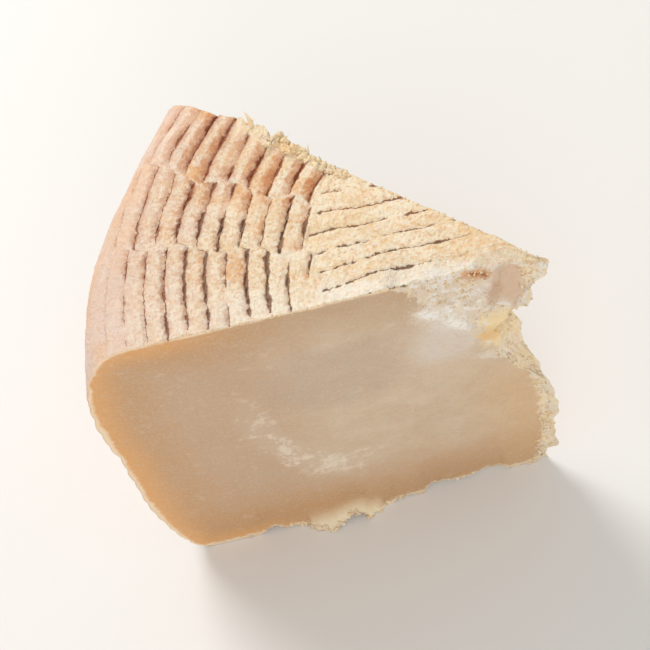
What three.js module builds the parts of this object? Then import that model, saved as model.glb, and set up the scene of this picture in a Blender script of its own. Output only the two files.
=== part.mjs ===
// A chunk of aged goat cheese: a wedge cut from a tall basket-moulded wheel, its point snapped off.
//
// Millimetres, +Z up. The wedge stands on the wheel's flat base. The rind bulges towards -X and the broken
// point looks towards +X. The near cut looks towards -Y and the far cut towards +Y. The origin is the middle
// of the wedge's box, on its base.
//
// The solid is one box of vertices bent into the wedge: one side of the box becomes the rind, the opposite
// side the broken point, two become the cuts, and the top and bottom become the wheel's two faces. Relief is
// added to each side in its own direction, so neighbouring sides still meet along their shared edges.

import * as THREE from "three";

// ---- the wheel that the wedge was cut from ----
const wheelRadius = 94.5; // widest part of the bulging side
const widestHeight = 68; // height of that bulge above the base
const cheeseHeight = 105;
const flatRadius = 79; // where the top begins to round over
const footRadius = 84; // and the base, whose edge is tighter
const farShrink = 3.2; // how much smaller the radius is at the far cut, as the wheel isn't quite round
const shoulderPower = 2.5; // superellipse power of the top's rounding
const footPower = 3.5; // the same for the base

// ---- the wedge ----
const halfAngle = THREE.MathUtils.degToRad(20.4);
const tipRadius = 4.4; // distance from the wheel's axis to the snapped point, at the near cut
const tipSlant = 2.8; // how much nearer to the axis it is at the far cut
const tipHalfWidth = 1; // half the least width that the snapped point keeps
const tipDroop = 4.5; // how much lower the top is at the point
const droopReach = 15;
const baseTuck = 4; // how far the near cut leans in at the base, beside the point
const baseTuckReach = 55;

// ---- basket rings pressed into the top, in three panels that don't line up ----
const panelBlend = THREE.MathUtils.degToRad(0.8);
const panels = [
  { end: THREE.MathUtils.degToRad(-9), firstRing: 46.6, pitch: 4.4 }, // beside the far cut
  { end: THREE.MathUtils.degToRad(4.5), firstRing: 45.6, pitch: 4.2 },
  { end: Infinity, firstRing: 43.6, pitch: 4.1 }, // beside the near cut
];
const ringCount = 9;
const ringDepth = 1.2;
const ringPhases = [0, 0.3, 0.76]; // places across one ring: its groove, then the two edges of its crest
const ringHeights = [0, 1, 0.92]; // how far each place stands up, as a share of the depth

// ---- straight furrows that cross the middle of the top ----
const furrowPitch = 3.3;
const furrowDepth = 0.7;
const furrowHalfWidth = 0.9;
const furrowTurnNear = THREE.MathUtils.degToRad(22); // their direction beside the near cut
const furrowTurnFar = THREE.MathUtils.degToRad(12); // and beside the far cut
const furrowFadeRadius = 12; // the furrows have worn away nearer to the point than this

// ---- shallow lines round the side, and the unevenness of the rind ----
const sideLinePitch = 6.5;
const sideLineDepth = 0.35;
const sideLineSharpness = 8; // higher is narrower
const sideUnevenness = 0.5;
const topUnevenness = 0.4;
const unevenSize = 9;

// ---- the top corner that broke away beside the point, from the near cut ----
const breakReach = 30; // how far out along the top edge it goes
const breakTaper = 0.45; // the share of that reach lost lower down
const breakWander = 2; // how much its edge wanders
const breakDrop = 38; // how far down the cut it goes, at the point
const breakInset = 1.5; // how far it is set back from the cut
const breakUneven = [0.8, 0.5]; // the share of that depth which is even, and the share which comes and goes
const breakFade = 4.5; // how wide the slope from the cut into the broken patch is
const breakSink = 1; // how far the top sags where the paste under it is gone
const beakReach = 4.4; // how far the thin rind over it still reaches past the snapped point
const beakDrop = 11; // how far below the top it has tapered away
const beakSpan = [-0.8, 0.6]; // from the near cut (0) to the far one (1), where it grows to its full reach
const notch = { below: 38, depth: 5, spread: 14 }; // where below the top the point is cut back furthest
const nick = { below: 30, depth: 3.2, spread: 3.2 }; // a sharper cut under the beak
const belly = { below: 66, depth: -1.6, spread: 12 }; // where it stands out again
const foot = { below: 105, depth: 3.2, spread: 9 }; // and where it draws in above the base
const dip = { radius: 11.5, depth: 3.5, spread: 2.4 }; // a gap in the top's near edge, beside the beak
const scoop = { radius: 5.5, halfLength: 3.5, below: 11, spread: 7, depth: 1.8 }; // a hollow in the beak

// ---- crumbly edges ----
const cragSize = 5;
const cragDepth = 1.6;
const tornLift = 1.8; // how far the near cut's lower edge is torn up off the base
const tornInset = 1.2; // and back from the cut
const tornSize = 4.5;
const tornHeight = 0.16; // how far up the cut it goes, as a share of the height
const flake = { radius: 53, halfLength: 9, reach: 3.8, height: 4 }; // the scrap that still hangs on it
const burr = { radius: 61, halfLength: 9, reach: 2, drop: 5 }; // torn paste on the far cut's upper edge

// ---- how finely the box is divided ----
const middleSteps = 14;
const middleCrowding = 1.35; // above 1, the columns beside the point lie closer than the others
const rimSteps = 3;
const acrossSteps = 27;
const upSteps = 22;
const rowCrowding = 0.09; // above 0, the rows beside the top and the base lie closer than the others

const lerp = THREE.MathUtils.lerp;
const smoothstep = THREE.MathUtils.smoothstep;
const bump = (x) => Math.exp(-x * x);

// A repeatable random number from 0 to 1 for each point of a whole-number lattice.
function hash(x, y, z) {
  let h = Math.imul(x, 374761393) + Math.imul(y, 668265263) + Math.imul(z, 2147483629);
  h = Math.imul(h ^ (h >>> 13), 1274126177);
  return ((h ^ (h >>> 16)) >>> 0) / 4294967296;
}

// Smooth noise from -1 to 1, made by blending the lattice numbers round a point.
function noise(x, y, z) {
  const cell = [x, y, z].map(Math.floor);
  const share = [x, y, z].map((value, k) => smoothstep(value - cell[k], 0, 1));
  let sum = 0;
  for (let corner = 0; corner < 8; corner++) {
    const step = [corner & 1, (corner >> 1) & 1, corner >> 2];
    const weight = step.reduce((w, s, k) => w * (s ? share[k] : 1 - share[k]), 1);
    sum += weight * hash(cell[0] + step[0], cell[1] + step[1], cell[2] + step[2]);
  }
  return 2 * sum - 1;
}

// Two sizes of noise together, for broken surfaces.
function crags(x, y, z, size) {
  const [a, b, c] = [x / size, y / size, z / size];
  return 0.65 * noise(a, b, c) + 0.35 * noise(2.3 * a, 2.3 * b, 2.3 * c + 7);
}

// The wheel's outline: share 0 is the flat's edge and share 1 the widest radius, each way from the bulge.
function superellipse(share, power) {
  return Math.pow(Math.max(0, 1 - Math.pow(THREE.MathUtils.clamp(share, 0, 1), power)), 1 / power);
}
const topSpan = wheelRadius - flatRadius;
const footSpan = wheelRadius - footRadius;
const topHeight = (r) =>
  lerp(widestHeight, cheeseHeight, superellipse((r - flatRadius) / topSpan, shoulderPower));
const baseHeight = (r) => lerp(widestHeight, 0, superellipse((r - footRadius) / footSpan, footPower));
const sideRadius = (z) =>
  z > widestHeight
    ? flatRadius + topSpan * superellipse((z - widestHeight) / (cheeseHeight - widestHeight), shoulderPower)
    : footRadius + footSpan * superellipse((widestHeight - z) / widestHeight, footPower);

// Where the outline slopes at 45 degrees, the box's top or bottom face hands over to its side.
function cornerRadius(span, rise, power) {
  const ratio = Math.pow(span / rise, 1 / (power - 1));
  return wheelRadius - span + span * ratio * Math.pow(1 + Math.pow(ratio, power), -1 / power);
}
const topCorner = cornerRadius(topSpan, cheeseHeight - widestHeight, shoulderPower);
const baseCorner = cornerRadius(footSpan, widestHeight, footPower);

// The first ring's radius and the ring pitch at an angle, eased from one panel to the next.
function panelAt(angle) {
  let { firstRing, pitch } = panels[0];
  for (let k = 1; k < panels.length; k++) {
    const share = smoothstep(angle, panels[k - 1].end - panelBlend, panels[k - 1].end + panelBlend);
    firstRing = lerp(firstRing, panels[k].firstRing, share);
    pitch = lerp(pitch, panels[k].pitch, share);
  }
  return { firstRing, pitch };
}

// Radii of the box's columns on the top face, from the point out. Across the rings each column keeps to one
// place on its ring, so the grooves stay sharp with few columns.
const ringSteps = ringCount * ringPhases.length;
const outSteps = middleSteps + ringSteps + rimSteps;
function columnRadius(i, angle) {
  const { firstRing, pitch } = panelAt(angle);
  if (i < middleSteps) return lerp(tipRadius, firstRing, Math.pow(i / middleSteps, middleCrowding));
  const ringEnd = firstRing + ringCount * pitch;
  if (i >= middleSteps + ringSteps) {
    return lerp(ringEnd, topCorner, (i - middleSteps - ringSteps) / rimSteps);
  }
  const ring = Math.floor((i - middleSteps) / ringPhases.length);
  return firstRing + pitch * (ring + ringPhases[(i - middleSteps) % ringPhases.length]);
}

// How much of its depth a ring's groove keeps: each differs, and they close up towards a panel's two ends.
function ringStrength(ring, angle) {
  const starts = [-halfAngle, ...panels.slice(0, -1).map((p) => p.end)];
  const panel = starts.filter((start) => angle >= start - 1e-6).length - 1;
  const middle = (starts[panel] + Math.min(panels[panel].end, halfAngle)) / 2;
  const halfSpan = middle - starts[panel];
  const closing = panel < 2 ? 1 - 0.75 * Math.pow(Math.abs(angle - middle) / halfSpan, 4) : 1;
  const fading = 1 - 0.7 * smoothstep(ring, ringCount - 3, ringCount);
  return closing * fading * (0.75 + 0.25 * noise(ring * 1.7, panel * 5 + angle * 9, 3));
}

function ringRelief(i, angle) {
  const place = i - middleSteps;
  if (place < 0 || place > ringSteps) return 0;
  const ring = Math.floor(place / ringPhases.length);
  const height = ringHeights[place % ringPhases.length];
  return -(1 - height) * ringDepth * ringStrength(ring, angle);
}

// Furrows lie on lines that fan a little. Their offset from one another is counted across the lines.
function furrowRelief(x, y, r) {
  const { firstRing } = panelAt(Math.atan2(-y, -x));
  const halfChord = firstRing * Math.sin(halfAngle);
  const turn = lerp(furrowTurnNear, furrowTurnFar, (y / halfChord + 1) / 2);
  const across = y * Math.cos(turn) - x * Math.sin(turn);
  const nearest = across - furrowPitch * Math.round(across / furrowPitch);
  const fade = smoothstep(r, furrowFadeRadius, 2 * furrowFadeRadius) * smoothstep(firstRing - r, 0.5, 2);
  return -furrowDepth * fade * bump(nearest / furrowHalfWidth);
}

// How broken the near top corner is, from 0 where it is whole to 1 beside the point. The edge of the broken
// patch runs down from the top edge, then steps towards the point.
function broken(r, z) {
  const below = (cheeseHeight - z) / breakDrop;
  const wander = breakWander * noise(r / unevenSize, z / unevenSize, 11);
  const edge = breakReach * (1 - breakTaper * smoothstep(below, 0, 0.75)) + wander;
  return smoothstep(edge - r, 0, breakFade) * (1 - smoothstep(below, 0.82, 1));
}

// Half the wedge's width at a distance from the axis.
function halfWidth(r) {
  return Math.hypot(Math.max(0, r) * Math.sin(halfAngle), tipHalfWidth);
}

// Distance of the snapped point from the axis, at a height: notched under the beak of rind.
function pointRadius(v, z) {
  const below = cheeseHeight - z;
  const cutBack = (form) => form.depth * bump((below - form.below) / form.spread);
  const beak = beakReach * bump(below / beakDrop) * smoothstep(v, ...beakSpan);
  return tipRadius - tipSlant * v - beak + [notch, nick, belly, foot].reduce((sum, f) => sum + cutBack(f), 0);
}

// Lines and unevenness round the rind's side.
function sideRelief(v, z) {
  const line = Math.pow(Math.abs(Math.cos((Math.PI * z) / sideLinePitch)), sideLineSharpness);
  return sideUnevenness * noise(0, v * 6, z / 14) - sideLineDepth * line;
}

// How far the near cut is set back where it is broken, scooped out or leans in. It is shared out across the
// wedge, so that the far cut stays put.
function nearInset(r, z, w) {
  const rough = breakUneven[0] + breakUneven[1] * crags(r, 40, z, cragSize);
  const along = (r - scoop.radius) / scoop.halfLength;
  const hollow = scoop.depth * bump(along) * bump((cheeseHeight - z - scoop.below) / scoop.spread);
  const chip = Math.min(breakInset * rough * broken(r, z) + hollow, 1.1 * halfWidth(r));
  const tuck = baseTuck * (1 - w) * Math.max(0, 1 - r / baseTuckReach);
  return chip + tuck;
}

// How much lower the top is at the gap in its near edge.
function dipDepth(r, v) {
  return dip.depth * bump((r - dip.radius) / dip.spread) * bump((2 * halfAngle * v * r) / dip.spread);
}

// How torn the near cut's lower edge is, from 0 to 1, at a distance from the axis.
function torn(r) {
  return smoothstep(noise(r / tornSize, 5, 2), -0.4, 0.7) * smoothstep(footRadius - r, 0, 10);
}

// The scrap that hangs on the near cut's lower edge stands out by this much.
function flakeReach(r, z) {
  const along = (r - flake.radius) / flake.halfLength;
  const outline = Math.sqrt(Math.max(0, 1 - along * along)) * bump(z / flake.height);
  return flake.reach * outline * (0.85 + 0.3 * noise(r / 2, 9, 4));
}

// The torn paste on the far cut's upper edge stands out by this much.
function burrReach(r, z) {
  const along = (r - burr.radius) / burr.halfLength;
  return burr.reach * bump(along) * bump((cheeseHeight - z) / burr.drop) * (0.7 + noise(r / 2.5, 1, 8));
}

// Everything that raises or lowers the top face.
function topRelief(i, v, x, y, r) {
  const even = smoothstep(topCorner - r, 0, 6);
  const sag = breakSink * broken(r, cheeseHeight) * (1 - smoothstep(v, 0, 0.5));
  const uneven = topUnevenness * even * noise(x / unevenSize, y / unevenSize, 2);
  const rough = 1 + crags(x, y, 3, cragSize);
  return ringRelief(i, evenAngle(v)) + furrowRelief(x, y, r) + uneven - sag * rough;
}

const evenAngle = (v) => lerp(halfAngle, -halfAngle, v);

// Bends the box's vertex (i, j, k) into place. i runs from the point to the rind, j from the near cut to the
// far cut, and k from the base to the top.
function place(i, j, k) {
  const atRind = i === outSteps;
  const atBase = k === 0;
  const atTop = k === upSteps;
  const v = j / acrossSteps;
  const w = k / upSteps - rowCrowding * Math.sin((2 * Math.PI * k) / upSteps);

  // The height comes from the box's top and base, and the distance from the axis from its two ends.
  const rTop = columnRadius(i, evenAngle(v));
  const share = (rTop - tipRadius) / (topCorner - tipRadius);
  const zTop = topHeight(rTop) - tipDroop * (1 - smoothstep(rTop, 0, droopReach)) - dipDepth(rTop, v);
  const zBase = baseHeight(lerp(tipRadius, baseCorner, share));
  let z = lerp(zBase, zTop, w);
  const rSide = sideRadius(lerp(baseHeight(baseCorner), topHeight(topCorner), w));
  let r = lerp(pointRadius(v, z), rSide, share) - farShrink * Math.pow(share, 3) * smoothstep(v, 0, 1);
  if (atRind && !atTop && !atBase) r += sideRelief(v, z);
  if (i === 0 && !atBase) r += cragDepth * crags(0, v * 6, z, cragSize);

  const x = -r * Math.cos(evenAngle(v));
  let y = (-halfWidth(r) * Math.sin(evenAngle(v))) / Math.sin(halfAngle) + nearInset(r, z, w) * (1 - v);
  if (j === 0) {
    y += tornInset * torn(r) * bump(w / tornHeight) - flakeReach(r, z);
    if (atBase) z += tornLift * torn(r);
  }
  if (j === acrossSteps) y += burrReach(r, z);
  if (atTop) z += topRelief(i, v, x, y, r);
  return new THREE.Vector3(x, y, z);
}

// The bent box, with the middle of its base moved to the origin.
function wedgeGeometry() {
  const geometry = new THREE.BoxGeometry(1, 1, 1, outSteps, acrossSteps, upSteps);
  const position = geometry.getAttribute("position");
  for (let n = 0; n < position.count; n++) {
    const i = Math.round((0.5 - position.getX(n)) * outSteps);
    const j = Math.round((0.5 + position.getY(n)) * acrossSteps);
    const k = Math.round((0.5 + position.getZ(n)) * upSteps);
    position.setXYZ(n, ...place(i, j, k).toArray());
  }
  geometry.computeBoundingBox();
  const middle = geometry.boundingBox.getCenter(new THREE.Vector3());
  geometry.translate(-middle.x, -middle.y, 0);
  geometry.computeVertexNormals();
  return geometry;
}

const cheese = new THREE.MeshStandardMaterial({ color: 0xd8bb93, roughness: 0.7, metalness: 0 });

const wedge = new THREE.Mesh(wedgeGeometry(), cheese);
wedge.name = "cheese_wedge";

const part = new THREE.Group();
part.add(wedge);

export default part;
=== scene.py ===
import math

import bmesh
import bpy
import numpy as np
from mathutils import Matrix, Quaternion, Vector


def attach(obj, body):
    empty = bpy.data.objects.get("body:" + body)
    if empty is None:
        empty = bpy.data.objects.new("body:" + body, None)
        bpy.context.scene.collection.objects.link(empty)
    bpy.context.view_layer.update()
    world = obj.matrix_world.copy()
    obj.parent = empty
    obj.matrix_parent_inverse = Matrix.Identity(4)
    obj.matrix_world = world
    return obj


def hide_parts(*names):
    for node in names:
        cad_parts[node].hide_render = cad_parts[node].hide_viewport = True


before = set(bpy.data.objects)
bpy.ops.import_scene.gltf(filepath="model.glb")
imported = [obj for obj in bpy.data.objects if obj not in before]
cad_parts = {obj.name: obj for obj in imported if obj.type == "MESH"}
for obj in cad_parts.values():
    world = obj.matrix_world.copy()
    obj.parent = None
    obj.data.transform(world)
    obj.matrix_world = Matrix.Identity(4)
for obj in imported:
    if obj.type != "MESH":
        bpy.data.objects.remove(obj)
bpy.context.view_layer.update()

mm = 0.001
print("frame loaded")

# camera, floor and light

shot = {
    "position": (94.95, -179.36, 444.44),  # mm
    "target": (-5.4, 5.8, 54.0),
    "rollDegrees": -20.1,
    "lens": 112,
    "sensor": 36,
    "nearest": 0.01,  # m
}
studio = {
    "floorColour": (0.86, 0.85, 0.83, 1),
    "floorRoughness": 0.7,
    "floorHalf": 3.0,  # m
    "skyColour": (1.0, 0.99, 0.97, 1),
    "skyStrength": 0.55,
    # place in mm, what it aims at, size in mm, watts, colour
    "lamps": [
        ((-420, 330, 620), (0, 0, 50), 420, 3.8, (1.0, 0.97, 0.94)),
        ((240, -560, 330), (0, 0, 50), 520, 1.3, (1.0, 0.98, 0.96)),
    ],
}


# Stands an item at a place in mm, turns its -Z axis to the target with Y upwards, and rolls it about that.
def aim(item, place, target, roll=0.0):
    place, target = Vector(place) * mm, Vector(target) * mm
    turn = (target - place).to_track_quat("-Z", "Y")
    item.rotation_mode = "QUATERNION"
    item.location = place
    item.rotation_quaternion = turn @ Quaternion((0, 0, 1), math.radians(roll))


# The camera, the lamps as round areas, the pale surroundings and one square floor.
def makeStudio():
    scene = bpy.context.scene
    lensData = bpy.data.cameras.new("camera")
    lensData.lens = shot["lens"]
    lensData.sensor_width = shot["sensor"]
    lensData.clip_start = shot["nearest"]
    camera = bpy.data.objects.new("camera", lensData)
    scene.collection.objects.link(camera)
    aim(camera, shot["position"], shot["target"], shot["rollDegrees"])
    scene.camera = camera

    for number, (place, target, size, watts, colour) in enumerate(studio["lamps"]):
        data = bpy.data.lights.new(f"lamp{number}", "AREA")
        data.shape = "DISK"
        data.size = size * mm
        data.energy = watts
        data.color = colour
        lamp = bpy.data.objects.new(f"lamp{number}", data)
        scene.collection.objects.link(lamp)
        aim(lamp, place, target)

    world = bpy.data.worlds.new("studio")
    world.use_nodes = True
    world.node_tree.nodes["Background"].inputs["Color"].default_value = studio["skyColour"]
    world.node_tree.nodes["Background"].inputs["Strength"].default_value = studio["skyStrength"]
    scene.world = world
    scene.view_settings.view_transform = "Standard"

    half = studio["floorHalf"]
    corners = [(-half, -half, 0), (half, -half, 0), (half, half, 0), (-half, half, 0)]
    sheet = bpy.data.meshes.new("floor")
    sheet.from_pydata(corners, [], [(0, 1, 2, 3)])
    floor = bpy.data.objects.new("floor", sheet)
    scene.collection.objects.link(floor)
    paint = bpy.data.materials.new("floorPaint")
    paint.use_nodes = True
    shader = paint.node_tree.nodes["Principled BSDF"]
    shader.inputs["Base Color"].default_value = studio["floorColour"]
    shader.inputs["Roughness"].default_value = studio["floorRoughness"]
    sheet.materials.append(paint)


makeStudio()
print("studio ready")

# shared maths


# A repeatable number from 0 to 1 for whole-number points: their coordinates are multiplied and bits mixed.
def latticeNumber(x, y, z):
    low32 = 0xFFFFFFFF
    h = (x * 374761393 + y * 668265263 + z * 2147483629) & low32
    h = ((h ^ (h >> 13)) * 1274126177) & low32
    return ((h ^ (h >> 16)) & low32) / (low32 + 1)


# Smooth noise from -1 to 1: the eight lattice numbers round each point, blended by eased distance.
def noise(x, y, z):
    x, y, z = np.broadcast_arrays(np.asarray(x, float), np.asarray(y, float), np.asarray(z, float))
    cells = [np.floor(t).astype(np.int64) for t in (x, y, z)]
    shares = [ease(t - np.floor(t), 0, 1) for t in (x, y, z)]
    total = np.zeros(x.shape)
    for corner in range(8):
        step = (corner & 1, (corner >> 1) & 1, corner >> 2)
        weight = 1.0
        for share, one in zip(shares, step):
            weight = weight * (share if one else 1 - share)
        total += weight * latticeNumber(*(cell + one for cell, one in zip(cells, step)))
    return 2 * total - 1


# Two sizes of noise together, the second 2.3 times finer.
def crags(x, y, z, size):
    a, b, c = x / size, y / size, z / size
    return 0.65 * noise(a, b, c) + 0.35 * noise(2.3 * a, 2.3 * b, 2.3 * c + 7)


# Noise of four sizes, each about half the last and 0.55 times as strong, divided by the sum of the strengths.
def grain(x, y, z, size, seed=0):
    total, weight, norm = 0, 1.0, 0.0
    for step in range(4):
        total = total + weight * noise(x / size + 17 * seed, y / size - 31 * step, z / size + 5 * seed)
        norm += weight
        size, weight = size / 2.03, weight * 0.55
    return total / norm


# 0 below low, 1 above high, an S curve between.
def ease(x, low, high):
    t = np.clip((x - low) / (high - low), 0, 1)
    return t * t * (3 - 2 * t)


# A bell: e to the power of minus x squared.
def bump(x):
    return np.exp(-x * x)


# a, plus the share t of the way to b.
def lerp(a, b, t):
    return a + (b - a) * t


# the wedge

wedge = {
    # mm, with radii from the wheel's axis; the first two say where that axis stands in the part's frame
    "axisX": 45.33,
    "axisY": 0.56,
    "wheelRadius": 94.5,
    "widestHeight": 68,
    "height": 105,
    "flatRadius": 79,  # where the top begins to round off
    "footRadius": 84,  # and where the base does
    "farShrink": 3.2,  # how much less the far corner of rind stands out
    "shoulderPower": 2.5,  # superellipse powers of the two roundings
    "footPower": 3.5,
    "halfAngle": math.radians(20.4),
    "tipRadius": 4.4,  # the snapped point at the near cut
    "tipSlant": 2.8,  # how much nearer to the axis it is at the far cut
    "tipHalfWidth": 1,
    "tipDroop": 4.5,  # how far the top sinks at the point, and from what radius
    "droopReach": 15,
    "baseTuck": 4,  # how far the base leans in, and up to what radius
    "baseTuckReach": 55,
    "sharpAngle": math.radians(50),
    "crowding": 0.09,  # how much grid lines crowd towards base and top
    "stepsOut": 216,
    "stepsAcross": 118,
    "stepsUp": 70,
}
rings = {
    # panels from the far cut to the near cut: where each ends (degrees), its first ring and its pitch (mm)
    "ends": (-9.0, 4.5),
    "first": np.array([46.6, 45.6, 43.6]),
    "pitch": np.array([4.4, 4.2, 4.1]),
    "gaps": np.array([-0.1, -0.1, 0.15]),  # how broken up its grooves are
    "depth": 0.55,  # mm
    "tilt": 0.4,  # how much higher a ridge's outer side is
    "steep": 0.26,  # a groove's half width (mm) on the side that faces the middle
    "gentle": 0.44,  # and on the side that faces the rim
    "seamWander": 1.3,  # degrees
    "weaker": (74, 86),  # radii over which they weaken
}
furrows = {
    "pitch": 3.3,
    "depth": 0.4,
    "halfWidth": 0.3,
    "turnNear": math.radians(22),  # how far they turn from the part's X beside each cut
    "turnFar": math.radians(12),
    "fadeRadius": 10,  # they begin between this radius and twice it
}
side = {
    "from": 0.93,  # share of the way from point to rind where its relief begins
    "linePitch": 6.5, "lineDepth": 0.35, "lineSharpness": 8, "uneven": 0.5,
    "fineLinePitch": 2.6, "fineLine": 0.22, "fineWander": 0.35, "grit": 0.16,
    "calmHeights": (2, 12),  # fine lines and grit fade towards the base
}
surface = {
    # the top's relief, and how far down from the top it still moves the grid
    "wave": 0.4, "bark": 0.12, "grit": 0.16, "ridge": 0.22, "reach": 7,
}
breakage = {
    # the broken corner: how far out it goes, how that shortens downwards, and how deep it is
    "reach": 30, "taper": 0.45, "wander": 2, "drop": 38, "inset": 1.5, "fade": 4.5, "sink": 1, "deepest": 1.1,
    # the point's outline: how far it stands out or is cut back, how far below the top, and over what height
    "beakReach": 4.4, "beakDrop": 11, "notchBelow": 38, "notchDepth": 5, "notchSpread": 14,
    "nickBelow": 30, "nickDepth": 3.2, "nickSpread": 3.2,
    "bellyBelow": 66, "bellyReach": 1.6, "bellySpread": 12, "footRetreat": 3.2, "footSpread": 9,
    # the gap in the top's near edge, the scoop beside the point, and the smooth paint in it
    "dipRadius": 11.5, "dipSpread": 2.4, "dipDepth": 3.5,
    "scoopRadius": 5.5, "scoopHalf": 3.5, "scoopHeight": 94, "scoopRise": 7, "scoopDepth": 1.8,
    "hollowRadius": 4.6, "hollowRise": 8.5,
    "cragSize": 5, "cragDepth": 1.6, "cragShare": 1 / 14,
}
edges = {
    "hold": 14,  # the power that keeps a move to one edge of the box
    "roughness": 0.5,  # of the cuts near the point
    # the torn lower edge
    "tornLift": 1.8, "tornInset": 1.2, "tornSize": 4.5, "tornHeight": 0.16,
    "raggedLift": 0.5, "raggedInset": 0.7, "liftHeight": 0.13,
    # the scrap that hangs on it
    "flakeRadius": 53, "flakeHalf": 9, "flakeReach": 3.8, "flakeHeight": 4,
    # the far upper edge: torn paste, and a lip that starts and ends over these radii
    "burrRadius": 61, "burrHalf": 9, "burrReach": 2, "burrDrop": 5,
    "lipHeight": 1.3, "lipStart": (45, 52), "lipEnd": (62, 70),
}
topSpan = wedge["wheelRadius"] - wedge["flatRadius"]
footSpan = wedge["wheelRadius"] - wedge["footRadius"]


# The wheel's outline as a superellipse: height = (1 - share^power)^(1/power).
def superellipse(share, power):
    return np.power(np.maximum(0, 1 - np.power(np.clip(share, 0, 1), power)), 1 / power)


# The top's height at a radius: from the widest height up by the superellipse's share of what is left.
def topHeight(r):
    share = superellipse((r - wedge["flatRadius"]) / topSpan, wedge["shoulderPower"])
    return lerp(wedge["widestHeight"], wedge["height"], share)


# The same for the base, downwards.
def baseHeight(r):
    share = superellipse((r - wedge["footRadius"]) / footSpan, wedge["footPower"])
    return lerp(wedge["widestHeight"], 0, share)


# The outline the other way round: its radius at a height, above and below the widest.
def sideRadius(z):
    widest, height = wedge["widestHeight"], wedge["height"]
    topShare = superellipse((z - widest) / (height - widest), wedge["shoulderPower"])
    footShare = superellipse((widest - z) / widest, wedge["footPower"])
    above, below = wedge["flatRadius"] + topSpan * topShare, wedge["footRadius"] + footSpan * footShare
    return np.where(z > widest, above, below)


# Radius where the outline slopes at 45 degrees.
def cornerRadius(span, rise, power):
    ratio = (span / rise) ** (1 / (power - 1))
    return wedge["wheelRadius"] - span + span * ratio * (1 + ratio ** power) ** (-1 / power)


topCorner = cornerRadius(topSpan, wedge["height"] - wedge["widestHeight"], wedge["shoulderPower"])
baseCorner = cornerRadius(footSpan, wedge["widestHeight"], wedge["footPower"])


# 0 where the near top corner is whole, 1 beside the point; its edge shortens with depth below the top.
def broken(r, z):
    below = (wedge["height"] - z) / breakage["drop"]
    wander = breakage["wander"] * noise(r / 9, z / 9, 11)
    edge = breakage["reach"] * (1 - breakage["taper"] * ease(below, 0, 0.75)) + wander
    return ease(edge - r, 0, breakage["fade"]) * (1 - ease(below, 0.82, 1))


# Half the width at radius r: the cut plane's distance, never less than the point's own half width.
def halfWidth(r):
    return np.hypot(np.maximum(0, r) * math.sin(wedge["halfAngle"]), wedge["tipHalfWidth"])


# The snapped point's radius: a slant, plus a bell-shaped notch, nick and foot, minus a belly and a beak.
def pointRadius(v, z):
    below = wedge["height"] - z
    notch = breakage["notchDepth"] * bump((below - breakage["notchBelow"]) / breakage["notchSpread"])
    nick = breakage["nickDepth"] * bump((below - breakage["nickBelow"]) / breakage["nickSpread"])
    foot = breakage["footRetreat"] * bump(z / breakage["footSpread"])
    belly = breakage["bellyReach"] * bump((below - breakage["bellyBelow"]) / breakage["bellySpread"])
    beak = breakage["beakReach"] * bump(below / breakage["beakDrop"]) * ease(v, -0.8, 0.6)
    return wedge["tipRadius"] - wedge["tipSlant"] * v + notch + nick + foot - belly - beak


# The radius inside which furrows take over from rings: the panels' first rings, eased from one to the next.
def firstRing(degrees):
    near = ease(degrees, rings["ends"][1] - 0.6, rings["ends"][1] + 0.6)
    far = ease(degrees, rings["ends"][0] - 0.6, rings["ends"][0] + 0.6)
    return lerp(lerp(rings["first"][0], rings["first"][1], far), rings["first"][2], near)


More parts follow.
